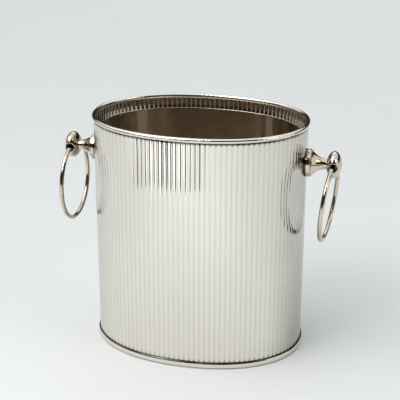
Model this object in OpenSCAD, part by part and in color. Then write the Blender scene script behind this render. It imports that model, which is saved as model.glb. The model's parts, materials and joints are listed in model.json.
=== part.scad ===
// Oval champagne bucket: a reeded double-walled body with a rolled rim and a
// half-round foot, and a loose ring handle on a turned post at each end.
// Units are millimetres. Z is up, the long axis is X, and the origin is the
// centre of the base.

/* [Body] */
// Overall height from the base to the top of the rim
body_height = 227.6; // [205:0.2:250]
// Length of the reeded wall along X, over the reed crests
body_length = 203.8; // [190:0.2:220]
// Width of the reeded wall along Y, over the reed crests
body_width = 148; // [140:0.2:160]
// Exponent of the oval: 2 is an ellipse and larger values are squarer
oval_exponent = 2.14; // [2:0.01:2.4]
// Number of reeds around the wall
reed_count = 116; // [96:4:132]
// Height of a reed from its valley to its crest
reed_depth = 0.2; // [0.15:0.05:0.6]
// Thickness of the reeded sheet
wall_sheet = 0.9; // [0.7:0.05:1]

/* [Rim] */
// Outer radius of the rolled rim tube
rim_radius = 2.2; // [2:0.05:2.6]
// Distance from the reed crests in to the centre of the rim tube
rim_inset = 0.55; // [0.4:0.05:0.8]
// Radius of the wire that the rim is rolled around
rim_wire_radius = 1.3; // [1:0.05:1.4]

/* [Foot] */
// Height of the foot moulding
foot_height = 6.1; // [5:0.1:9]
// How far the foot moulding stands out past the reed crests
foot_proud = 1.6; // [0.8:0.05:2.2]
// Thickness of the bottom plate and of the ledge that the wall stands on
bottom_sheet = 1.2; // [1:0.1:1.5]

/* [Liner] */
// Depth of the liner's ledge below the top of the rim
ledge_depth = 13; // [11:0.5:16]
// Thickness of the liner sheet
liner_sheet = 1; // [0.8:0.05:1.2]
// Distance from the reed crests in to the outside of the liner
liner_inset = 5.8; // [5.8:0.1:8]
// Height of the underside of the liner's floor above the base
liner_floor_height = 7.2; // [6:0.2:12]

/* [Handle post] */
// Height of the handle axis above the base
handle_height = 188.6; // [150:0.2:194]
// Radius of the collar against the wall
collar_radius = 13.1; // [12:0.1:14]
// Distance from the reed crests to the front of the collar
collar_front = 4.6; // [3:0.1:6]
// Radius of the flared end of the post
flare_radius = 12.5; // [11:0.1:12.8]
// Radius of the post's neck
neck_radius = 4.9; // [4.6:0.1:5.4]
// Distance from the reed crests to the centre of the knob
knob_reach = 25.6; // [25:0.1:27]
// Radius of the knob, across the post axis
knob_radius = 12.7; // [12.4:0.1:13.2]
// Half the thickness of the knob, along the post axis
knob_half_thickness = 7.4; // [7:0.1:8]
// Radius of the hole through the knob
hole_radius = 4; // [3.95:0.05:4.2]

/* [Ring handle] */
// Radius of the ring's centre line
ring_radius = 37.3; // [36:0.1:38.5]
// Radius of the ring's wire
ring_wire_radius = 2.1; // [1.9:0.05:2.1]
// Height of the wire's centre above the hole's axis, at the top of the ring
ring_rise = 0.5; // [0.4:0.05:0.6]
// Angle by which the right ring leans in towards the wall at rest
right_ring_lean = 5; // [0:0.5:10]
// Angle by which the right ring is turned about the vertical in its loose hole
right_ring_turn = -4; // [-4:0.5:4]

/* [Hidden] */
$fn = 96;

half_length = body_length / 2;
half_width = body_width / 2;
touch = 0.05;
rim_centre_z = body_height - rim_radius;
shell_top = rim_centre_z - rim_radius;
ledge_top = body_height - ledge_depth;
ledge_thickness = 1.2;
wall_thickness = reed_depth + wall_sheet;
handle_x = half_length + knob_reach;

// Handle fixing: a low-head screw runs from inside the double wall into the post.
screw_radius = 2.5;
screw_clearance = 0.1;
screw_hole_depth = 9;
screw_head_radius = 4.5;
screw_head_thickness = 1.5;
screw_socket_radius = 1.25;
washer_radius = 4.6;
washer_thickness = 0.6;
plate_thickness = 1;
plate_half_width = 9;
plate_half_height = 12;
plate_reach = 4;
plate_bow = 0.15;
stud_hole_radius = screw_radius + screw_clearance;

// ---- The oval ----

oval_samples = 720;
smooth_points = 144;
sweep_points = 96;
reed_points = 6;

function signed_power(v, p) = sign(v) * pow(abs(v), p);

// Point of the oval at parameter t (degrees), moved out by d along the normal.
function oval_point(t, d) =
    let (
        x = half_length * signed_power(cos(t), 2 / oval_exponent),
        y = half_width * signed_power(sin(t), 2 / oval_exponent),
        nx = signed_power(x / half_length, oval_exponent - 1) / half_length,
        ny = signed_power(y / half_width, oval_exponent - 1) / half_width,
        size = norm([nx, ny])
    )
    [x + d * nx / size, y + d * ny / size];

// Parameter as a function of the distance walked around the oval.
oval_walk = [
    for (
        i = 0, walked = 0;
        i <= oval_samples;
        step = norm(oval_point((i + 1) * 360 / oval_samples, 0) - oval_point(i * 360 / oval_samples, 0)),
        walked = walked + step,
        i = i + 1
    )
    [walked, i * 360 / oval_samples]
];
perimeter = oval_walk[oval_samples][0];
function oval_at(fraction) = lookup(fraction * perimeter, oval_walk);

// Smooth oval outline moved out by d.
function oval_outline(d, count = smooth_points) = [
    for (i = [0:count - 1]) oval_point(oval_at(i / count), d)
];

// Reeds are circular arcs that meet in sharp valleys; u runs from -1 to 1 over one reed.
reed_half_pitch = perimeter / reed_count / 2;
reed_arc_radius = (reed_half_pitch * reed_half_pitch + reed_depth * reed_depth) / (2 * reed_depth);
function reed_rise(u) =
    sqrt(pow(reed_arc_radius, 2) - pow(u * reed_half_pitch, 2)) - reed_arc_radius;

// Reeded outline moved out by d; its crests lie on the smooth oval outline, one at each end.
function reeded_outline(d) = [
    for (i = [0:reed_count - 1])
        for (j = [0:reed_points - 1])
            let (place = (i + 0.5 + j / reed_points) / reed_count)
            oval_point(oval_at(place % 1), d + reed_rise(2 * j / reed_points - 1))
];

// Closed ring of constant section; section points are [distance out, height].
module oval_sweep(section, count = sweep_points) {
    m = len(section);
    points = [
        for (i = [0:count - 1])
            for (s = section)
                concat(oval_point(oval_at(i / count), s[0]), s[1])
    ];
    faces = [
        for (i = [0:count - 1])
            for (j = [0:m - 1])
                let (a = i * m, b = ((i + 1) % count) * m, k = (j + 1) % m)
                [a + j, a + k, b + k, b + j]
    ];
    polyhedron(points, faces, convexity = 6);
}

// Points of an arc in a section, from angle a0 to a1.
function arc(centre, radius, a0, a1, steps) = [
    for (i = [0:steps])
        let (a = a0 + (a1 - a0) * i / steps)
        centre + radius * [cos(a), sin(a)]
];

// ---- Body ----

// Corrugated sheet sleeve that forms the outer wall, drilled for the two handle screws.
module outer_shell() {
    color("silver")
    difference() {
        translate([0, 0, bottom_sheet])
        linear_extrude(shell_top - bottom_sheet)
        difference() {
            polygon(reeded_outline(0));
            polygon(reeded_outline(-wall_sheet));
        }
        for (side = [-1, 1])
            handle_axis(side)
                translate([0, 0, -2 * wall_thickness])
                cylinder(h = 4 * wall_thickness, r = stud_hole_radius);
    }
}

// Top edge rolled over a wire; the roll's slit faces down, above the wall.
module rim_bead() {
    slit_half_angle = 14;
    rim_bore = rim_wire_radius + touch;
    centre = [-rim_inset, rim_centre_z];
    color("silver")
    oval_sweep(concat(
        arc(centre, rim_radius, -90 + slit_half_angle, 270 - slit_half_angle, 14),
        arc(centre, rim_bore, 270 - slit_half_angle, -90 + slit_half_angle, 8)
    ));
}

// Wire inside the rolled rim.
module rim_wire() {
    steps = 8;
    color("darkgoldenrod")
    oval_sweep([
        for (i = [0:steps - 1])
            [-rim_inset, rim_centre_z] + rim_wire_radius * [cos(i * 360 / steps), sin(i * 360 / steps)]
    ]);
}

// Half-round moulding around the foot, with a ledge that the wall stands on.
module foot_ring() {
    ledge_inset = wall_thickness + 1.5;
    bulge = foot_height / 2;
    steps = 8;
    color("silver")
    oval_sweep(concat(
        [[-ledge_inset, 0]],
        [for (i = [0:steps])
            let (a = -90 + 180 * i / steps)
            [touch + foot_proud * pow(cos(a), 0.7), bulge + bulge * sin(a)]],
        [[touch, bottom_sheet], [-ledge_inset, bottom_sheet]]
    ));
}

// Flat sheet that closes the underside and lies flush with the foot.
module bottom_plate() {
    color("gray")
    linear_extrude(bottom_sheet)
    polygon(oval_outline(-wall_thickness - 1.5 - touch));
}

// ---- Liner ----

// Narrow ledge that closes the gap between the wall and the liner.
module liner_ledge() {
    color("silver")
    translate([0, 0, ledge_top - ledge_thickness])
    linear_extrude(ledge_thickness)
    difference() {
        polygon(oval_outline(-wall_thickness - touch));
        polygon(oval_outline(-liner_inset - liner_sheet));
    }
}

// Smooth inner wall.
module liner_wall() {
    color("dimgray")
    translate([0, 0, liner_floor_height])
    linear_extrude(ledge_top - ledge_thickness - liner_floor_height)
    difference() {
        polygon(oval_outline(-liner_inset));
        polygon(oval_outline(-liner_inset - liner_sheet));
    }
}

// Floor of the liner, set inside the foot of its wall.
module liner_floor() {
    floor_sheet = 1.2;
    color("dimgray")
    translate([0, 0, liner_floor_height])
    linear_extrude(floor_sheet)
    polygon(oval_outline(-liner_inset - liner_sheet - touch));
}

// Four pads that carry the liner's floor on the bottom plate.
module liner_pads() {
    pad_radius = 9;
    color("black")
    for (side_x = [-1, 1])
        for (side_y = [-1, 1])
            translate([side_x * half_length / 2, side_y * half_width / 2, bottom_sheet])
            cylinder(h = liner_floor_height - bottom_sheet, r = pad_radius);
}

// ---- Handles ----

// Frame of a handle: local Z points outward along the post, from the reed crests.
module handle_axis(side) {
    translate([side * half_length, 0, handle_height])
    rotate([0, side * 90, 0])
    children();
}

// Collar against the wall; its back is cut to the curve of the wall.
module collar(side) {
    edge = 0.5;
    reach_in = 3;
    color("silver")
    difference() {
        handle_axis(side)
        rotate_extrude()
        polygon([
            [stud_hole_radius, -reach_in],
            [collar_radius, -reach_in],
            [collar_radius, collar_front - edge],
            [collar_radius - edge, collar_front],
            [stud_hole_radius, collar_front]
        ]);
        translate([0, 0, handle_height - 2 * collar_radius])
        linear_extrude(4 * collar_radius)
        polygon(oval_outline(touch));
    }
}

// Turned post: a trumpet flare, a neck and a flattened ball knob drilled through for the ring.
module post(side) {
    flare_steps = 14;
    knob_steps = 20;
    flare_power = 2.1;
    flare_end = knob_reach - knob_half_thickness + 0.4;
    neck_angle = asin(neck_radius / knob_radius);
    color("silver")
    difference() {
        handle_axis(side)
        rotate_extrude()
        polygon(concat(
            [[0, collar_front]],
            [for (i = [0:flare_steps])
                let (t = i / flare_steps)
                [neck_radius + (flare_radius - neck_radius) * pow(1 - t, flare_power),
                 collar_front + (flare_end - collar_front) * t]],
            [for (i = [1:knob_steps])
                let (a = neck_angle + (180 - neck_angle) * i / knob_steps)
                [i == knob_steps ? 0 : knob_radius * sin(a), knob_reach - knob_half_thickness * cos(a)]]
        ));
        translate([side * handle_x, 0, handle_height])
        rotate([90, 0, 0])
        cylinder(h = 4 * knob_radius, r = hole_radius, center = true);
        handle_axis(side)
        translate([0, 0, collar_front - 1])
        cylinder(h = screw_hole_depth - collar_front + 1, r = stud_hole_radius);
    }
}

// Loose ring through the knob, leaning in by lean and turned about the vertical by turn.
module ring(side, lean, turn) {
    color("silver")
    translate([side * handle_x, 0, handle_height])
    rotate([0, 0, turn])
    rotate([0, side * lean, 0])
    translate([0, 0, ring_rise - ring_radius])
    rotate([0, 90, 0])
    rotate_extrude()
    translate([ring_radius, 0])
    circle(r = ring_wire_radius);
}

// Plate inside the double wall that spreads the screw's load over the reeds.
module backing_plate(side) {
    color("gray")
    intersection() {
        translate([0, 0, handle_height - plate_half_height])
        linear_extrude(2 * plate_half_height)
        difference() {
            polygon(oval_outline(-wall_thickness - touch));
            polygon(oval_outline(-wall_thickness - touch - plate_thickness));
        }
        difference() {
            translate([side * half_length, 0, handle_height])
            cube([2 * plate_reach, 2 * plate_half_width, 2 * plate_half_height], center = true);
            handle_axis(side)
            translate([0, 0, -plate_reach])
            cylinder(h = plate_reach, r = stud_hole_radius);
        }
    }
}

// Back of the washers, clear of the bow of the backing plate under them.
washer_back = -wall_thickness - touch - plate_thickness - plate_bow - washer_thickness;

// Washers under the two screw heads.
module handle_washers() {
    color("goldenrod")
    for (side = [-1, 1])
        handle_axis(side)
        translate([0, 0, washer_back])
        difference() {
            cylinder(h = washer_thickness, r = washer_radius);
            translate([0, 0, -washer_thickness])
            cylinder(h = 3 * washer_thickness, r = stud_hole_radius);
        }
}

// Low-head socket screws that hold the posts.
module handle_screws() {
    socket_depth = 1;
    end_gap = 0.5;
    hexagon = 6;
    color("dimgray")
    for (side = [-1, 1])
        handle_axis(side)
        translate([0, 0, washer_back - screw_head_thickness])
        difference() {
            union() {
                cylinder(h = screw_head_thickness, r = screw_head_radius);
                cylinder(h = screw_hole_depth - end_gap - washer_back + screw_head_thickness, r = screw_radius);
            }
            translate([0, 0, -1])
            cylinder(h = socket_depth + 1, r = screw_socket_radius, $fn = hexagon);
        }
}

outer_shell();
rim_bead();
rim_wire();
foot_ring();
bottom_plate();
liner_ledge();
liner_wall();
liner_floor();
liner_pads();
collar(-1);  // left_collar
collar(1);  // right_collar
post(-1);  // left_post
post(1);  // right_post
ring(-1, 0, 0);  // left_ring
ring(1, right_ring_lean, right_ring_turn);  // right_ring
backing_plate(-1);  // left_backing_plate
backing_plate(1);  // right_backing_plate
handle_washers();
handle_screws();
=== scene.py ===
"""Oval champagne bucket in polished silver plate, on a pale floor in soft studio light.

Lengths are in millimetres unless a comment says otherwise; MM turns them into metres.
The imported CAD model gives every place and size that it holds.
"""
import bisect
import json
import math

import bmesh
import bpy
from mathutils import Matrix, Vector


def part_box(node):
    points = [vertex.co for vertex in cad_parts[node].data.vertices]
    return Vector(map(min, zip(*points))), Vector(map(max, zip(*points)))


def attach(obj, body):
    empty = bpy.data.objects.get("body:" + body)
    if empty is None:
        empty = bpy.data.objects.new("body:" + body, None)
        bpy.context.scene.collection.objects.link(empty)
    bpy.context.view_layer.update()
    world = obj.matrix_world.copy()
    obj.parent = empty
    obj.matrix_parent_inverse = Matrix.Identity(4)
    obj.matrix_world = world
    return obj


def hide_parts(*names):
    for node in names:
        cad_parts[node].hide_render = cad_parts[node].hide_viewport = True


MM = 0.001

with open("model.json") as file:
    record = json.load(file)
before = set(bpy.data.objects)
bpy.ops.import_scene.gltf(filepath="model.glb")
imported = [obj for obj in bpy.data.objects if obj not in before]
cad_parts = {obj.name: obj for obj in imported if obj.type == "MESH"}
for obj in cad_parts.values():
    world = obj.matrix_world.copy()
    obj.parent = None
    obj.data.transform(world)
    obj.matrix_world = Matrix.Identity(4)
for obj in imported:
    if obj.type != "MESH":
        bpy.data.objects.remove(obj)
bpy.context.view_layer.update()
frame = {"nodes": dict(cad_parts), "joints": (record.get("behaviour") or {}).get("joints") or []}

# ---- Driving sizes --------------------------------------------------------------------

OVAL_EXPONENT = 2.14
REED_COUNT = 116
REED_DEPTH = 0.2
FLUTE_CREST = 0.7  # from the reeds' crests in to the crests of the inner side
FLUTE_DEPTH = 0.5
RIM_RADIUS = 2.2
RIM_INSET = 0.55
FOOT_PROUD = 1.6
LINER_INSET = 5.8
LINER_SHEET = 1.0
TOUCH = 0.05  # gap between sheets that lie against each other

# ---- Painted shade and wear, from 0 to 1 ----------------------------------------------

# Painted shade in the valleys, on the ledge and on the handles' wall side; the dullness values add
# roughness.
VALLEY_SHADE = 0.17
# Share of the valleys' painted shade at each point across a reed, from one valley to the next.
VALLEY_SPREAD = (1.0, 0.9, 0.62, 0.25, 0.05, 0.0, 0.0, 0.0, 0.05, 0.25, 0.62, 0.9)
RIB_DULLNESS = 0.4
BAND_DULLNESS = 0.22
LEDGE_SHADE = 0.6
WALL_SIDE_SHADE = 0.6

# ---- Sizes from the frame -------------------------------------------------------------

def box_mm(node):
    """Lowest and highest corner of a CAD node in millimetres."""
    low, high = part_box(node)
    return low / MM, high / MM


def joint_pivot(name):
    """Pivot of a joint in millimetres."""
    for joint in frame["joints"]:
        if joint["name"] == name:
            return Vector(joint["pos_m"]) / MM
    raise KeyError(name)


shell_low, shell_high = box_mm("outer_shell")
ledge_low, ledge_high = box_mm("liner_ledge")
liner_low, liner_high = box_mm("liner_wall")
floor_low, floor_high = box_mm("liner_floor")
plate_high = box_mm("bottom_plate")[1]
foot_top = box_mm("foot_ring")[1].z
body_height = box_mm("rim_bead")[1].z
half_length = liner_high.x + LINER_INSET
half_width = liner_high.y + LINER_INSET


# ---- The oval -------------------------------------------------------------------------

class Oval:
    """Superellipse plan of the body, walked by arc length."""

    SAMPLES = 7200

    def __init__(self, half_x, half_y, exponent):
        self.half_x = half_x
        self.half_y = half_y
        self.exponent = exponent
        self.walk = [0.0]
        last = self.at_angle(0.0, 0.0)
        for i in range(1, self.SAMPLES + 1):
            here = self.at_angle(2 * math.pi * i / self.SAMPLES, 0.0)
            self.walk.append(self.walk[-1] + (here - last).length)
            last = here
        self.perimeter = self.walk[-1]

    @staticmethod
    def signed_power(value, power):
        return math.copysign(abs(value) ** power, value)

    def at_angle(self, angle, out):
        """Plan point at a parameter angle, moved out along the normal."""
        c, s = math.cos(angle), math.sin(angle)
        x = self.half_x * self.signed_power(c, 2 / self.exponent)
        y = self.half_y * self.signed_power(s, 2 / self.exponent)
        normal = Vector((
            self.signed_power(x / self.half_x, self.exponent - 1) / self.half_x,
            self.signed_power(y / self.half_y, self.exponent - 1) / self.half_y,
        )).normalized()
        return Vector((x, y)) + out * normal

    def at(self, distance, out):
        """Plan point at a distance walked anticlockwise from the +X end, moved out."""
        distance = distance % self.perimeter
        i = min(bisect.bisect_right(self.walk, distance) - 1, self.SAMPLES - 1)
        part = (distance - self.walk[i]) / (self.walk[i + 1] - self.walk[i])
        return self.at_angle(2 * math.pi * (i + part) / self.SAMPLES, out)

    def x_at(self, y, out):
        """Largest x of the outline moved out, at a given y."""
        low, high = 0.0, math.pi / 2
        for _ in range(40):
            middle = (low + high) / 2
            if self.at_angle(middle, out).y < abs(y):
                low = middle
            else:
                high = middle
        return self.at_angle((low + high) / 2, out).x


oval = Oval(half_length, half_width, OVAL_EXPONENT)
reed_pitch = oval.perimeter / REED_COUNT


# ---- Meshes ---------------------------------------------------------------------------

def make_piece(name, vertices, faces, material, body, replaces=(), sharp_deg=35.0):
    """Object from vertices in millimetres, smooth but for its sharp edges, riding on a CAD body."""
    mesh = bpy.data.meshes.new(name)
    mesh.from_pydata([Vector(v) * MM for v in vertices], [], faces)
    bm = bmesh.new()
    bm.from_mesh(mesh)
    bmesh.ops.recalc_face_normals(bm, faces=bm.faces)
    bm.to_mesh(mesh)
    bm.free()
    mesh.shade_smooth()
    mesh.set_sharp_from_angle(angle=math.radians(sharp_deg))
    mesh.materials.append(material)
    piece = bpy.data.objects.new(name, mesh)
    bpy.context.scene.collection.objects.link(piece)
    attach(piece, body)
    if replaces:
        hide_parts(*replaces)
    return piece


def add_mask(mesh, name, values):
    """Adds a mask from 0 to 1 on the vertices, for a material to read."""
    mask = mesh.attributes.new(name, "FLOAT", "POINT")
    for i, value in enumerate(values):
        mask.data[i].value = value


def smooth_step(value, low, high):
    """Smooth rise from 0 at low to 1 at high."""
    t = max(0.0, min(1.0, (value - low) / (high - low)))
    return t * t * (3 - 2 * t)


def loop_faces(loops, size, closed=True):
    """Quads between neighbouring closed loops of `size` vertices each, and from the last to the first."""
    faces = []
    for i in range(loops if closed else loops - 1):
        a, b = i * size, ((i + 1) % loops) * size
        for j in range(size):
            k = (j + 1) % size
            faces.append((a + j, a + k, b + k, b + j))
    return faces


def oval_row(out, z, stations):
    """Vertices of a level loop round the oval."""
    row = []
    for i in range(stations):
        plan = oval.at(oval.perimeter * i / stations, out)
        row.append((plan.x, plan.y, z))
    return row


def sweep_oval(section, stations):
    """Closed sweep round the oval; section(distance) gives the (out, height) points there."""
    vertices = []
    for i in range(stations):
        distance = oval.perimeter * i / stations
        points = section(distance)
        for out, height in points:
            plan = oval.at(distance, out)
            vertices.append((plan.x, plan.y, height))
    return vertices, loop_faces(stations, len(points))


def arc(centre_out, centre_height, radius, start_deg, end_deg, steps):
    """Points (out, height) of an arc in a section."""
    points = []
    for i in range(steps + 1):
        a = math.radians(start_deg + (end_deg - start_deg) * i / steps)
        points.append((centre_out + radius * math.cos(a), centre_height + radius * math.sin(a)))
    return points


def lathe(profile, segments):
    """Revolved solid about the local axis; profile is [(radius, along)] from pole to pole."""
    vertices, faces, rings = [], [], []
    for radius, along in profile:
        if radius < 1e-6:
            rings.append([len(vertices)])
            vertices.append((0.0, 0.0, along))
            continue
        first = len(vertices)
        for i in range(segments):
            a = 2 * math.pi * i / segments
            vertices.append((radius * math.cos(a), radius * math.sin(a), along))
        rings.append(list(range(first, first + segments)))
    for lower, upper in zip(rings, rings[1:]):
        for i in range(segments):
            j = (i + 1) % segments
            if len(lower) == 1:
                faces.append((lower[0], upper[j], upper[i]))
            elif len(upper) == 1:
                faces.append((lower[i], lower[j], upper[0]))
            else:
                faces.append((lower[i], lower[j], upper[j], upper[i]))
    return vertices, faces


def fillet(corner, before, after, radius, steps=5):
    """Points that round a profile corner between two straight sides."""
    corner, before, after = Vector(corner), Vector(before), Vector(after)
    a, b = (before - corner).normalized(), (after - corner).normalized()
    half = math.acos(max(-1.0, min(1.0, a.dot(b)))) / 2
    reach = radius / math.tan(half)
    centre = corner + (a + b).normalized() * (radius / math.sin(half))
    start, end = corner + a * reach - centre, corner + b * reach - centre
    return [tuple(centre + start.lerp(end, i / steps).normalized() * radius) for i in range(steps + 1)]


# ---- Shader nodes ---------------------------------------------------------------------

def node_of(tree, kind, **values):
    """Adds a shader node; keys are sockets, "__" for a space, or properties with a leading underscore."""
    made = tree.nodes.new(kind)
    for key, value in values.items():
        if key.startswith("_"):
            setattr(made, key[1:], value)
        else:
            made.inputs[key.replace("__", " ")].default_value = value
    return made


def noise(tree, place, **values):
    """Value of a noise at a place."""
    made = node_of(tree, "ShaderNodeTexNoise", **values)
    tree.links.new(place, made.inputs["Vector"])
    return made.outputs["Fac"]


def mask_of(tree, name):
    """Value of a mask on the mesh."""
    return node_of(tree, "ShaderNodeAttribute", _attribute_name=name).outputs["Fac"]


def maths(tree, operation, first, second=None):
    """Result of a Math node; each operand is a float or an output."""
    made = node_of(tree, "ShaderNodeMath", _operation=operation)
    for socket, value in zip(made.inputs, (first, second)):
        if isinstance(value, float):
            socket.default_value = value
        elif value is not None:
            tree.links.new(value, socket)
    return made.outputs[0]


def remap(tree, value, low, high, to_low=0.0, to_high=1.0, kind="LINEAR"):
    """A value's range from low to high, mapped to another range and clamped to it."""
    made = node_of(tree, "ShaderNodeMapRange", _interpolation_type=kind, From__Min=low, From__Max=high,
                   To__Min=to_low, To__Max=to_high)
    tree.links.new(value, made.inputs["Value"])
    return made.outputs["Result"]


def mix_colours(tree, part, first, second):
    """Mix of two colours by a part; each colour is a triple or an output."""
    made = node_of(tree, "ShaderNodeMix", _data_type="RGBA")
    tree.links.new(part, made.inputs[0])
    for socket, colour in ((made.inputs[6], first), (made.inputs[7], second)):
        if isinstance(colour, tuple):
            socket.default_value = (*colour, 1.0)
        else:
            tree.links.new(colour, socket)
    return made.outputs[2]


def bump(tree, height, strength, distance, normal=None):
    """Normal bumped by a height; distance is in metres."""
    made = node_of(tree, "ShaderNodeBump", Strength=strength, Distance=distance)
    tree.links.new(height, made.inputs["Height"])
    if normal:
        tree.links.new(normal, made.inputs["Normal"])
    return made.outputs["Normal"]


def blank_material(name):
    """New material, with its tree, its shader and the place on the object."""
    material = bpy.data.materials.new(name)
    material.use_nodes = True
    tree = material.node_tree
    place = node_of(tree, "ShaderNodeTexCoord").outputs["Object"]
    return material, tree, tree.nodes["Principled BSDF"], place


# ---- Materials ------------------------------------------------------------------------

def metal_tone(tree, place, light, dark, tarnish, grime):
    """Colour that drifts from light to dark, with broken painted shade where the painted-shade mask is
    high.
    """
    patches = noise(tree, place, Scale=28.0, Detail=5.0, Roughness=0.6)
    colour = mix_colours(tree, remap(tree, patches, 0.35, 0.75, 0.0, tarnish), light, dark)
    if grime:
        broken = remap(tree, patches, 0.3, 0.6, 0.75, 1.0)
        cover = maths(tree, "MULTIPLY", mask_of(tree, "grime"), broken)
        colour = mix_colours(tree, cover, colour, grime)
    return colour


def metal_roughness(tree, place, low, high, masked):
    """Smudged roughness, plus the dull mask if the metal is masked."""
    smudge = noise(tree, place, Scale=75.0, Detail=6.0, Roughness=0.65)
    rough = remap(tree, smudge, 0.3, 0.75, low, high)
    if masked:
        rough = maths(tree, "ADD", rough, mask_of(tree, "dull"))
    return rough


def metal_relief(tree, place, ripple, brushed):
    """Hairline scratches, drawn out upright on brushed metal, over a soft ripple."""
    stretch = node_of(tree, "ShaderNodeMapping", Scale=(1.0, 1.0, 0.06 if brushed else 1.0))
    tree.links.new(place, stretch.inputs["Vector"])
    hairlines = noise(tree, stretch.outputs["Vector"], Scale=1400.0, Detail=3.0, Roughness=0.7)
    waves = noise(tree, place, Scale=16.0, Detail=2.0, Roughness=0.4)
    scratched = bump(tree, hairlines, 0.03 + brushed, 0.00002)
    return bump(tree, waves, 1.0, max(ripple, 1e-7), scratched)


def metal(name, light, dark, roughness, tarnish=0.35, ripple=0.0, brushed=0.0, grime=None):
    """Polished or satin metal; the last argument is the colour of the painted shade on metal that reads the
    masks.
    """
    material, tree, shader, place = blank_material(name)
    shader.inputs["Metallic"].default_value = 1.0
    tree.links.new(metal_tone(tree, place, light, dark, tarnish, grime), shader.inputs["Base Color"])
    tree.links.new(metal_roughness(tree, place, *roughness, bool(grime)), shader.inputs["Roughness"])
    tree.links.new(metal_relief(tree, place, ripple, brushed), shader.inputs["Normal"])
    return material


def rubber(name):
    """Matt black rubber with a fine mottled grain."""
    material, tree, shader, place = blank_material(name)
    shader.inputs["Roughness"].default_value = 0.75
    grain = noise(tree, place, Scale=900.0, Detail=4.0)
    colour = mix_colours(tree, grain, (0.012, 0.012, 0.013), (0.045, 0.044, 0.042))
    tree.links.new(colour, shader.inputs["Base Color"])
    tree.links.new(bump(tree, grain, 0.4, 0.0001), shader.inputs["Normal"])
    return material


def paper(name):
    """Pale matt paper, very slightly cloudy."""
    material, tree, shader, place = blank_material(name)
    shader.inputs["Roughness"].default_value = 0.9
    shader.inputs["Specular IOR Level"].default_value = 0.1
    clouds = noise(tree, place, Scale=6.0, Detail=3.0)
    colour = mix_colours(tree, clouds, (0.82, 0.84, 0.85), (0.85, 0.87, 0.88))
    tree.links.new(colour, shader.inputs["Base Color"])
    return material


# The last colour of each metal is its painted shade: near black on the outside, brown on the liner.
silver = metal("polished_silver", (0.82, 0.785, 0.715), (0.75, 0.71, 0.63), (0.03, 0.08), ripple=0.0003,
               grime=(0.02, 0.017, 0.013))
reeded_silver = metal("reeded_silver", (0.82, 0.79, 0.72), (0.78, 0.745, 0.67), (0.04, 0.10), ripple=0.0002,
                      grime=(0.02, 0.016, 0.012))
handled_silver = metal("handled_silver", (0.76, 0.68, 0.56), (0.54, 0.45, 0.34), (0.04, 0.12), tarnish=0.8,
                       ripple=0.0002, grime=(0.012, 0.010, 0.008))
liner_metal = metal("liner_silver", (0.90, 0.845, 0.77), (0.83, 0.77, 0.68), (0.12, 0.22), brushed=0.05,
                    grime=(0.26, 0.20, 0.13))
plain_plate = metal("plain_plate", (0.62, 0.61, 0.59), (0.48, 0.46, 0.44), (0.25, 0.42), brushed=0.2)
brass = metal("drawn_brass", (0.80, 0.62, 0.30), (0.55, 0.40, 0.18), (0.18, 0.35))
screw_steel = metal("screw_steel", (0.55, 0.55, 0.56), (0.40, 0.39, 0.38), (0.2, 0.35))
black_rubber = rubber("pad_rubber")


# ---- Body -----------------------------------------------------------------------------

REED_STATIONS = (-1.0, -0.95, -0.8, -0.6, -0.4, -0.2, 0.0, 0.2, 0.4, 0.6, 0.8, 0.95)
FLUTE_STATIONS = (-1.0, -0.9, -0.8, -0.6, -0.4, -0.2, 0.0, 0.2, 0.4, 0.6, 0.8, 0.9)


def reed_profile(crest, depth, stations):
    """One reed, a shallow arc with its crest at `crest`, as (along, out) points from valley to valley."""
    half = reed_pitch / 2
    radius = (half ** 2 + depth ** 2) / (2 * depth)
    return [(u * half, math.sqrt(radius ** 2 - (u * half) ** 2) - radius + crest) for u in stations]


def reeded_line(profile):
    """Plan points of a whole reeded outline."""
    return [oval.at(i * reed_pitch + along, out) for i in range(REED_COUNT) for along, out in profile]


def end_shade(point, z):
    """Painted shade of the wall towards the handles; more on the right and low down."""
    on_left, on_right, low_down = 0.12, 0.22, 0.16
    begins = 0.72 * half_length
    amount = (on_right if point.x > 0 else on_left) + low_down * (1 - z / body_height)
    return amount * smooth_step(abs(point.x), begins, half_length)


def wall_levels():
    """Heights of the wall's rows of vertices, with the painted shade on the reeds and in the valleys at
    each.
    """
    low, high = shell_low.z, shell_high.z
    levels = [(low, 1.0, 1.0), (foot_top, 1.0, 1.0), (foot_top + 0.4, 1.0, 1.0), (foot_top + 0.9, 0.0, 0.8)]
    levels += [(z, 0.0, VALLEY_SHADE) for z in (foot_top + 4.0, 60.0, 115.0, 170.0, high - 3.6)]
    levels += [(high - 2.2, 0.0, 0.6), (high - 1.6, 0.2, 1.0), (high - 1.0, 0.9, 1.0), (high, 1.0, 1.0)]
    return levels


def make_outer_shell():
    """Reeded sheet sleeve, fluted inside; painted shade under the rim, above the foot and in the valleys.
    """
    outer = reeded_line(reed_profile(0.0, REED_DEPTH, REED_STATIONS))
    inner = reeded_line(reed_profile(-FLUTE_CREST, FLUTE_DEPTH, FLUTE_STATIONS))
    levels = wall_levels()
    step = len(REED_STATIONS)
    count = len(outer)
    vertices, grime, dull = [], [], []
    for z, on_reed, in_valley in levels:
        vertices += [(p.x, p.y, z) for p in outer]
        for i, p in enumerate(outer):
            shade_level = on_reed + (in_valley - on_reed) * VALLEY_SPREAD[i % step]
            grime.append(1 - (1 - shade_level) * (1 - end_shade(p, z)))
        dull += [0.0] * count
    for z, _, _ in reversed(levels):
        vertices += [(p.x, p.y, z) for p in inner]
        grime += [0.0] * count
        dull += [RIB_DULLNESS if i % step in (0, 1, step - 1) else 0.0 for i in range(count)]
    piece = make_piece("reeded_wall", vertices, loop_faces(2 * len(levels), count), reeded_silver,
                       "bucket", ["outer_shell"], sharp_deg=60.0)
    add_mask(piece.data, "grime", grime)
    add_mask(piece.data, "dull", dull)


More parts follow.
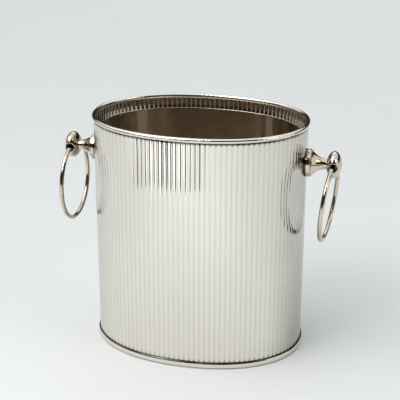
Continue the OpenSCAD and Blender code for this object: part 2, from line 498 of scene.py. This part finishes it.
def make_rim():
    """Round rim rolled over a wire, very slightly rippled by the reeds under it, with one soldered seam."""
    centre_height = body_height - RIM_RADIUS
    bore = 1.35
    slit = 14.0  # half of the opening underneath, in degrees
    ripple = 0.05
    seam_at = 0.795 * oval.perimeter
    seam_half_width, seam_depth = 0.35, 0.22

    def section(distance):
        wave = math.cos(2 * math.pi * distance / reed_pitch)
        seam = seam_depth * max(0.0, 1 - abs(distance - seam_at) / seam_half_width)
        radius = RIM_RADIUS - ripple * (1 - wave) / 2 - seam
        outer = arc(-RIM_INSET, centre_height, radius, -90 + slit, 270 - slit, 26)
        return outer + arc(-RIM_INSET, centre_height, bore, 270 - slit, -90 + slit, 12)

    stations = REED_COUNT * 14
    vertices, faces = sweep_oval(section, stations)
    piece = make_piece("rolled_rim", vertices, faces, silver, "bucket", ["rim_bead"])
    # Painted shade on the underside of the rim, by the slit.
    shade_level = [1.0, 1.0] + [0.0] * (len(vertices) // stations - 2)
    add_mask(piece.data, "grime", shade_level * stations)


def make_foot():
    """Half-round foot moulding with the ledge that the wall stands on; painted shade in the crevice at its
    top and on its underside.
    """
    ledge_inset = half_length - plate_high.x - TOUCH
    roundness = 0.7
    steps = 22
    profile, shade_level = [(-ledge_inset, 0.0)], [0.0]
    # Turn is the angle up from the moulding's widest line, in degrees.
    for i in range(steps + 1):
        turn = -90 + 180 * i / steps
        a = math.radians(turn)
        profile.append((TOUCH + FOOT_PROUD * math.cos(a) ** roundness, foot_top / 2 * (1 + math.sin(a))))
        # Painted shade: on the underside, and in the crevice under the wall at the top.
        shade_level.append(0.9 * smooth_step(-turn, 36, 60) + smooth_step(turn, 46, 58))
    profile += [(TOUCH, plate_high.z), (-ledge_inset, plate_high.z)]
    shade_level += [0.0, 0.0]
    stations = REED_COUNT * 6
    vertices, faces = sweep_oval(lambda distance: profile, stations)
    piece = make_piece("foot_moulding", vertices, faces, silver, "bucket", ["foot_ring"])
    add_mask(piece.data, "grime", shade_level * stations)


def make_ledge():
    """Flat ledge between the wall and the liner: painted shade on top, with an unshaded rounded lip inside.
    """
    bottom, top = ledge_low.z, ledge_high.z
    clearance = 0.03
    lip_radius = 0.3
    border = 0.1  # width in which the flat's shading and painted shade change
    inside = -LINER_INSET - LINER_SHEET
    lip = arc(inside + lip_radius, top - lip_radius, lip_radius, 90, 180, 5)
    inner = [(inside + lip_radius + border, top)] + lip + [(inside, bottom)]
    profile = reed_profile(-FLUTE_CREST - clearance, FLUTE_DEPTH, FLUTE_STATIONS)
    vertices = []
    for i in range(REED_COUNT):
        for along, out in profile:
            for point_out, z in [(out, bottom), (out, top), (out - border, top)] + inner:
                plan = oval.at(i * reed_pitch + along, point_out)
                vertices.append((plan.x, plan.y, z))
    count = REED_COUNT * len(profile)
    size = len(vertices) // count
    piece = make_piece("liner_lip", vertices, loop_faces(count, size), silver, "bucket", ["liner_ledge"])
    # Painted shade on the flat top; none on the lip.
    shade_level = [0.0] + [LEDGE_SHADE] * 3 + [0.0] * (size - 4)
    add_mask(piece.data, "grime", shade_level * count)


def reflection_band(x):
    """1 in the two narrow upright bands of the liner that carry a painted reflection, falling to 0 beside
    them.
    """
    bands = ((-71.0, 2.0), (56.0, 1.0))  # centre and half width
    fade = 5.0
    return max(1 - smooth_step(abs(x - centre), half, half + fade) for centre, half in bands)


def liner_shade(x):
    """Brown painted shade of the liner, heavier towards the right and left out in the painted reflection
    bands.
    """
    middle, rise = 0.26, 0.10
    return (middle + rise * x / half_length) * (1 - reflection_band(x))


def make_liner_wall():
    """Smooth inner wall, drawn from sheet; the painted reflection bands have no painted shade but are
    duller.
    """
    low, high = liner_low.z, liner_high.z
    steps = 8
    heights = [low + (high - low) * i / steps for i in range(steps + 1)]
    section = [(-LINER_INSET, z) for z in heights]
    section += [(-LINER_INSET - LINER_SHEET, z) for z in reversed(heights)]
    vertices, faces = sweep_oval(lambda distance: section, 480)
    piece = make_piece("liner_side", vertices, faces, liner_metal, "bucket", ["liner_wall"])
    add_mask(piece.data, "grime", [liner_shade(x) for x, y, z in vertices])
    add_mask(piece.data, "dull", [BAND_DULLNESS * reflection_band(x) for x, y, z in vertices])


def make_liner_floor():
    """Liner floor with a small cove round its edge."""
    low, high = floor_low.z, floor_high.z
    edge = -LINER_INSET - LINER_SHEET - TOUCH
    cove = 4.0
    stations = 240
    rings = 6  # of quads between the cove and the middle
    rows = [(edge, low)] + arc(edge - cove, high + cove, cove, -8, -90, 7)
    vertices = [vertex for out, z in rows for vertex in oval_row(out, z, stations)]
    last = vertices[-stations:]
    for step in range(1, rings):
        keep = 1 - step / rings
        vertices += [(x * keep, y * keep, z) for x, y, z in last]
    loops = len(vertices) // stations
    faces = loop_faces(loops, stations, closed=False)
    faces.append(tuple(range(len(vertices) - stations, len(vertices))))
    faces.append(tuple(reversed(range(stations))))
    make_piece("liner_base", vertices, faces, liner_metal, "bucket", ["liner_floor"])


# ---- Handles --------------------------------------------------------------------------

COLLAR_RADIUS = 13.1
COLLAR_FRONT = 4.6
FLARE_RADIUS = 12.5
NECK_RADIUS = 4.9
KNOB_RADIUS = 12.7
KNOB_HALF_THICKNESS = 7.4
HOLE_RADIUS = 4.0
MOUTH_RADIUS = 0.6
WIRE_RADIUS = 2.1
SEGMENTS = 160


def place_on_axis(vertices, side, height):
    """Turns local (across, across, outward) vertices on to a handle's axis."""
    return [(side * (half_length + z), side * y, height + x) for x, y, z in vertices]


def make_collar(side, name):
    """Short collar whose back follows the wall; painted shade where it meets the wall."""
    height = joint_pivot(f"{name}_ring_swing").z
    shaded_to = 0.45
    profile = [(0.0, COLLAR_FRONT), (COLLAR_RADIUS - 1.6, COLLAR_FRONT)]
    profile += fillet((COLLAR_RADIUS, COLLAR_FRONT), (0, COLLAR_FRONT), (COLLAR_RADIUS, 0), 0.7)
    profile += [(COLLAR_RADIUS, 1.4), (COLLAR_RADIUS, shaded_to), (COLLAR_RADIUS, 0.0), (0.0, 0.0)]
    vertices, faces = lathe(profile, SEGMENTS)
    shaped = []
    for x, y, z in vertices:
        if z < 1e-6:
            z = oval.x_at(y, TOUCH) - half_length
        shaped.append((x, y, z))
    piece = make_piece(f"{name}_rosette", place_on_axis(shaped, side, height), faces, handled_silver,
                       "bucket", [f"{name}_collar"])
    add_mask(piece.data, "grime", [1.0 if z <= shaded_to else 0.0 for x, y, z in shaped])


def nearest_on_knob(widest, distance, height):
    """Angle and gap from a point to the knob's outline (widest * cos t, KNOB_RADIUS * sin t)."""
    def gap(t):
        return math.hypot(widest * math.cos(t) - distance, KNOB_RADIUS * math.sin(t) - height)

    steps = 60
    quarter = math.pi / 2
    best = min(range(steps + 1), key=lambda k: gap(quarter * k / steps))
    low, high = quarter * max(0, best - 1) / steps, quarter * min(steps, best + 1) / steps
    for _ in range(30):
        first, second = low + (high - low) / 3, high - (high - low) / 3
        if gap(first) < gap(second):
            high = second
        else:
            low = first
    return (low + high) / 2, gap((low + high) / 2)


def knob_half_plane(angle):
    """Half of the knob's section, as (distance, along hole), from its waist into the rounded mouth."""
    widest = 1 / math.hypot(math.cos(angle) / KNOB_HALF_THICKNESS, math.sin(angle) / KNOB_RADIUS)
    centre_distance = HOLE_RADIUS + MOUTH_RADIUS
    low, high = 0.0, KNOB_RADIUS
    for _ in range(24):
        middle = (low + high) / 2
        if nearest_on_knob(widest, centre_distance, middle)[1] > MOUTH_RADIUS:
            low = middle
        else:
            high = middle
    centre_height = (low + high) / 2
    touch_angle, _ = nearest_on_knob(widest, centre_distance, centre_height)
    outside_steps, mouth_steps, hole_steps = 22, 7, 4
    points = []
    for k in range(outside_steps + 1):
        t = touch_angle * k / outside_steps
        points.append((widest * math.cos(t), KNOB_RADIUS * math.sin(t)))
    start = math.atan2(points[-1][1] - centre_height, points[-1][0] - centre_distance)
    points += arc(centre_distance, centre_height, MOUTH_RADIUS, math.degrees(start), 180, mouth_steps)[1:]
    points += [(HOLE_RADIUS, centre_height * (1 - k / hole_steps)) for k in range(1, hole_steps + 1)]
    return points


def knob_mesh(reach):
    """Flattened ball knob with a hole across it; its centre is `reach` out from the wall."""
    around = 128
    vertices = []
    for i in range(around):
        angle = 2 * math.pi * i / around
        half = knob_half_plane(angle)
        section = half + [(d, -y) for d, y in reversed(half[1:-1])]
        vertices += [(d * math.sin(angle), y, reach + d * math.cos(angle)) for d, y in section]
    return vertices, loop_faces(around, len(section))


def flare_mesh(reach):
    """Trumpet flare and neck, from the collar to just inside the knob."""
    foot = COLLAR_FRONT + 0.02
    neck_from = reach - KNOB_HALF_THICKNESS + 0.4
    neck_end = neck_from + 2.2
    flare_power = 2.1
    profile = [(0.0, foot), (FLARE_RADIUS - 1.4, foot)]
    profile += fillet((FLARE_RADIUS, foot), (0, foot), (FLARE_RADIUS - 0.6, COLLAR_FRONT + 1.2), 0.35)
    steps = 40
    for i in range(3, steps + 1):
        t = i / steps
        radius = NECK_RADIUS + (FLARE_RADIUS - NECK_RADIUS) * (1 - t) ** flare_power
        profile.append((radius, COLLAR_FRONT + (neck_from - COLLAR_FRONT) * t))
    profile += [(NECK_RADIUS, neck_end), (0.0, neck_end)]
    return lathe(profile, SEGMENTS)


def join_solids(piece, other):
    """Joins an overlapping solid into a piece and removes it."""
    join = piece.modifiers.new("join", "BOOLEAN")
    join.operation = "UNION"
    join.solver = "EXACT"
    join.object = other
    graph = bpy.context.evaluated_depsgraph_get()
    merged = bpy.data.meshes.new_from_object(piece.evaluated_get(graph))
    piece.modifiers.clear()
    piece.data = merged
    bpy.data.objects.remove(other)
    merged.shade_smooth()
    merged.set_sharp_from_angle(angle=math.radians(32))


def make_post(side, name):
    """Turned post, a flare and neck joined to a drilled knob; painted shade in the hole and on the side
    that faces the wall.
    """
    pivot = joint_pivot(f"{name}_ring_swing")
    reach = side * pivot.x - half_length
    flare_vertices, flare_faces = flare_mesh(reach)
    knob_vertices, knob_faces = knob_mesh(reach)
    post = make_piece(f"{name}_turned_post", place_on_axis(flare_vertices, side, pivot.z), flare_faces,
                      handled_silver, "bucket", [f"{name}_post"])
    knob = make_piece(f"{name}_knob_blank", place_on_axis(knob_vertices, side, pivot.z), knob_faces,
                      handled_silver, "bucket")
    join_solids(post, knob)
    into_mouth = 0.12
    shade_level = []
    for v in post.data.vertices:
        from_hole = math.hypot(v.co.x / MM - pivot.x, v.co.z / MM - pivot.z)
        facing_wall = smooth_step(-side * v.normal.x, 0.3, 0.9)
        # Painted shade: black in the hole, darker on the side facing the wall.
        shade_level.append(1.0 if from_hole < HOLE_RADIUS + into_mouth else WALL_SIDE_SHADE * facing_wall)
    add_mask(post.data, "grime", shade_level)


def make_ring(side, name):
    """Loose ring of round wire with one brazed seam; its rest lean and turn come from the CAD ring."""
    node = f"{name}_ring"
    low, high = box_mm(node)
    centre = (low + high) / 2
    points = [v.co / MM for v in frame["nodes"][node].data.vertices]
    down = (centre - joint_pivot(f"{name}_ring_swing")).normalized()
    across = max(points, key=lambda p: p.y) - min(points, key=lambda p: p.y)
    across = Vector((across.x, across.y, 0.0)).normalized()
    normal = across.cross(down).normalized()
    across = down.cross(normal).normalized()
    radius = max((p - centre).dot(-down) for p in points) - WIRE_RADIUS
    around, section = 288, 36
    seam_at = math.radians(102)
    seam_half_width, seam_depth = 0.012, 0.16
    vertices = []
    for i in range(around):
        a = 2 * math.pi * i / around
        spoke = -down * math.cos(a) + across * math.sin(a)
        bite = seam_depth * max(0.0, 1 - abs(a - seam_at) / seam_half_width)
        for j in range(section):
            b = 2 * math.pi * j / section
            offset = spoke * math.cos(b) + normal * math.sin(b)
            vertices.append(centre + spoke * radius + offset * (WIRE_RADIUS - bite))
    piece = make_piece(f"{name}_wire_ring", vertices, loop_faces(around, section), handled_silver,
                       f"{name}_handle", [node])
    facing_wall = [-side * v.normal.x for v in piece.data.vertices]
    # Painted shade on the side of the ring that faces the wall.
    add_mask(piece.data, "grime", [WALL_SIDE_SHADE * smooth_step(f, 0.2, 0.8) for f in facing_wall])


make_outer_shell()
make_rim()
make_foot()
make_ledge()
make_liner_wall()
make_liner_floor()
for side, name in ((-1, "left"), (1, "right")):
    make_collar(side, name)
    make_post(side, name)
    make_ring(side, name)

for node, material in {
    "rim_wire": brass,
    "bottom_plate": plain_plate,
    "liner_pads": black_rubber,
    "left_backing_plate": plain_plate,
    "right_backing_plate": plain_plate,
    "handle_washers": brass,
    "handle_screws": screw_steel,
}.items():
    carried = frame["nodes"][node]
    carried.data.materials.clear()
    carried.data.materials.append(material)


# ---- Stage, in metres and watts -------------------------------------------------------

ROOM = (0.035, 0.028, 0.018)
# Panels of the studio, later ones in front: azimuth from the front (+X side positive), half width,
# lowest and highest elevation, softness of the edges (all degrees), and colour.
PANELS = (
    (0, 200, -100, 0, 1.5, (0.80, 0.82, 0.83)),
    (180, 75, 27, 100, 4, (0.80, 0.84, 0.88)),
    (0, 200, 58, 100, 5, (0.95, 0.97, 1.0)),
    (86, 20, -2, 50, 3, (0.84, 0.80, 0.72)),
    (-98, 24, 8, 42, 5, (0.62, 0.60, 0.55)),
    (-62, 44, 34, 100, 4, (1.7, 1.7, 1.68)),
)
WARM_WHITE = (1.0, 0.99, 0.97)
BLUE_WHITE = (0.97, 1.0, 1.0)


def stage_piece(name, vertices, faces, material):
    """Plain object that isn't part of the bucket."""
    mesh = bpy.data.meshes.new(name)
    mesh.from_pydata(vertices, [], faces)
    mesh.materials.append(material)
    piece = bpy.data.objects.new(name, mesh)
    bpy.context.scene.collection.objects.link(piece)


def make_floor():
    """Pale sheet that the bucket stands on."""
    left, right, front, back = -3.0, 3.0, -3.0, 6.0
    corners = [(left, front, 0), (right, front, 0), (right, back, 0), (left, back, 0)]
    stage_piece("floor", corners, [(0, 1, 2, 3)], paper("floor_paper"))


def make_stand_foot(name, near, far, width):
    """Low black foot of a light stand on the floor, narrower at its near end; it shows as a reflection."""
    thickness = 0.02
    taper = 0.4
    near, far = Vector((*near, 0.0)), Vector((*far, 0.0))
    across = (far - near).cross(Vector((0, 0, 1))).normalized() * width / 2
    corners = [near - across * taper, near + across * taper, far + across, far - across]
    vertices = corners + [c + Vector((0, 0, thickness)) for c in corners]
    faces = [(0, 3, 2, 1), (4, 5, 6, 7), (0, 1, 5, 4), (1, 2, 6, 5), (2, 3, 7, 6), (3, 0, 4, 7)]
    stage_piece(name, vertices, faces, black_rubber)


def panel_cover(tree, azimuth, elevation, centre, half, low, high, soft):
    """How far a direction lies inside a panel, from 0 to 1, by the panel's place in degrees."""
    def past(value, edge):
        return remap(tree, value, math.radians(edge - soft), math.radians(edge + soft), kind="SMOOTHSTEP")

    turn = maths(tree, "SUBTRACT", azimuth, math.radians(centre))
    wrapped = maths(tree, "ARCTAN2", maths(tree, "SINE", turn), maths(tree, "COSINE", turn))
    across = maths(tree, "SUBTRACT", 1.0, past(maths(tree, "ABSOLUTE", wrapped), half))
    below = maths(tree, "SUBTRACT", 1.0, past(elevation, high))
    return maths(tree, "MULTIPLY", across, maths(tree, "MULTIPLY", past(elevation, low), below))


def make_world():
    """Dark warm room with bright panels: a soft box at front left, a pale ceiling, wall and side card."""
    world = bpy.data.worlds.new("studio")
    bpy.context.scene.world = world
    world.use_nodes = True
    tree = world.node_tree
    place = node_of(tree, "ShaderNodeTexCoord")
    parts = node_of(tree, "ShaderNodeSeparateXYZ")
    tree.links.new(place.outputs["Generated"], parts.inputs["Vector"])
    elevation = maths(tree, "ARCSINE", parts.outputs["Z"])
    azimuth = maths(tree, "ARCTAN2", parts.outputs["X"], maths(tree, "MULTIPLY", parts.outputs["Y"], -1.0))
    colour = ROOM
    for *extent, tint in PANELS:
        colour = mix_colours(tree, panel_cover(tree, azimuth, elevation, *extent), colour, tint)
    background = tree.nodes["Background"]
    background.inputs["Strength"].default_value = 1.0
    tree.links.new(colour, background.inputs["Color"])


def add_light(data, location, target, power, colour):
    """Puts a light in the scene, aimed at a point."""
    data.energy = power
    data.color = colour
    light = bpy.data.objects.new(data.name, data)
    light.location = location
    light.rotation_mode = "QUATERNION"
    light.rotation_quaternion = (Vector(target) - Vector(location)).to_track_quat("-Z", "Y")
    bpy.context.scene.collection.objects.link(light)


def make_softbox(name, location, target, width, power, colour):
    """Square soft box aimed at a point."""
    data = bpy.data.lights.new(name, "AREA")
    data.shape = "SQUARE"
    data.size = width
    add_light(data, location, target, power, colour)


def make_spot(name, location, target, spread_deg, blend, power, colour):
    """Spot light that makes a soft pool on the floor."""
    data = bpy.data.lights.new(name, "SPOT")
    data.spot_size = math.radians(spread_deg)
    data.spot_blend = blend
    data.shadow_soft_size = 0.06
    add_light(data, location, target, power, colour)


def make_camera():
    """Short telephoto from the front and a little to the right, looking down; angles in radians."""
    distance, height = 0.927, 0.4983
    azimuth, pitch, roll = 0.2378, 0.3672, 0.0026
    data = bpy.data.cameras.new("camera")
    data.sensor_width = 36.0
    data.lens = 92.35
    camera = bpy.data.objects.new("camera", data)
    camera.location = (distance * math.sin(azimuth), -distance * math.cos(azimuth), height)
    turn = Matrix.Rotation(azimuth, 3, "Z") @ Matrix.Rotation(math.pi / 2 - pitch, 3, "X")
    camera.rotation_mode = "QUATERNION"
    camera.rotation_quaternion = (turn @ Matrix.Rotation(roll, 3, "Z")).to_quaternion()
    bpy.context.scene.collection.objects.link(camera)
    bpy.context.scene.camera = camera


make_floor()
make_stand_foot("left_stand_foot", (-0.315, -0.465), (-0.47, -0.70), 0.13)
make_stand_foot("right_stand_foot", (-0.125, -0.53), (-0.19, -0.83), 0.13)
make_world()
make_softbox("key_softbox", (-0.6, -0.65, 1.2), (0.0, -0.12, 0.0), 0.7, 4.9, WARM_WHITE)
make_softbox("right_fill", (0.95, -0.35, 0.9), (0.25, -0.05, 0.0), 0.5, 1.1, WARM_WHITE)
make_softbox("back_light", (-0.3, 2.4, 2.2), (-0.3, 2.4, 0.0), 2.0, 7.0, (0.98, 1.0, 1.0))
make_spot("floor_pool", (-0.37, -0.97, 1.5), (-0.35, -0.79, 0.0), 25, 0.5, 75.0, WARM_WHITE)
make_spot("far_pool", (0.05, -1.1, 1.5), (0.1, -0.78, 0.0), 40, 1.0, 18.0, WARM_WHITE)
make_spot("front_pool", (-0.1, -1.1, 1.3), (-0.05, -0.32, 0.0), 30, 1.0, 12.0, BLUE_WHITE)
make_camera()

scene = bpy.context.scene
scene.view_settings.view_transform = "Standard"
scene.cycles.max_bounces = 16
scene.cycles.glossy_bounces = 12
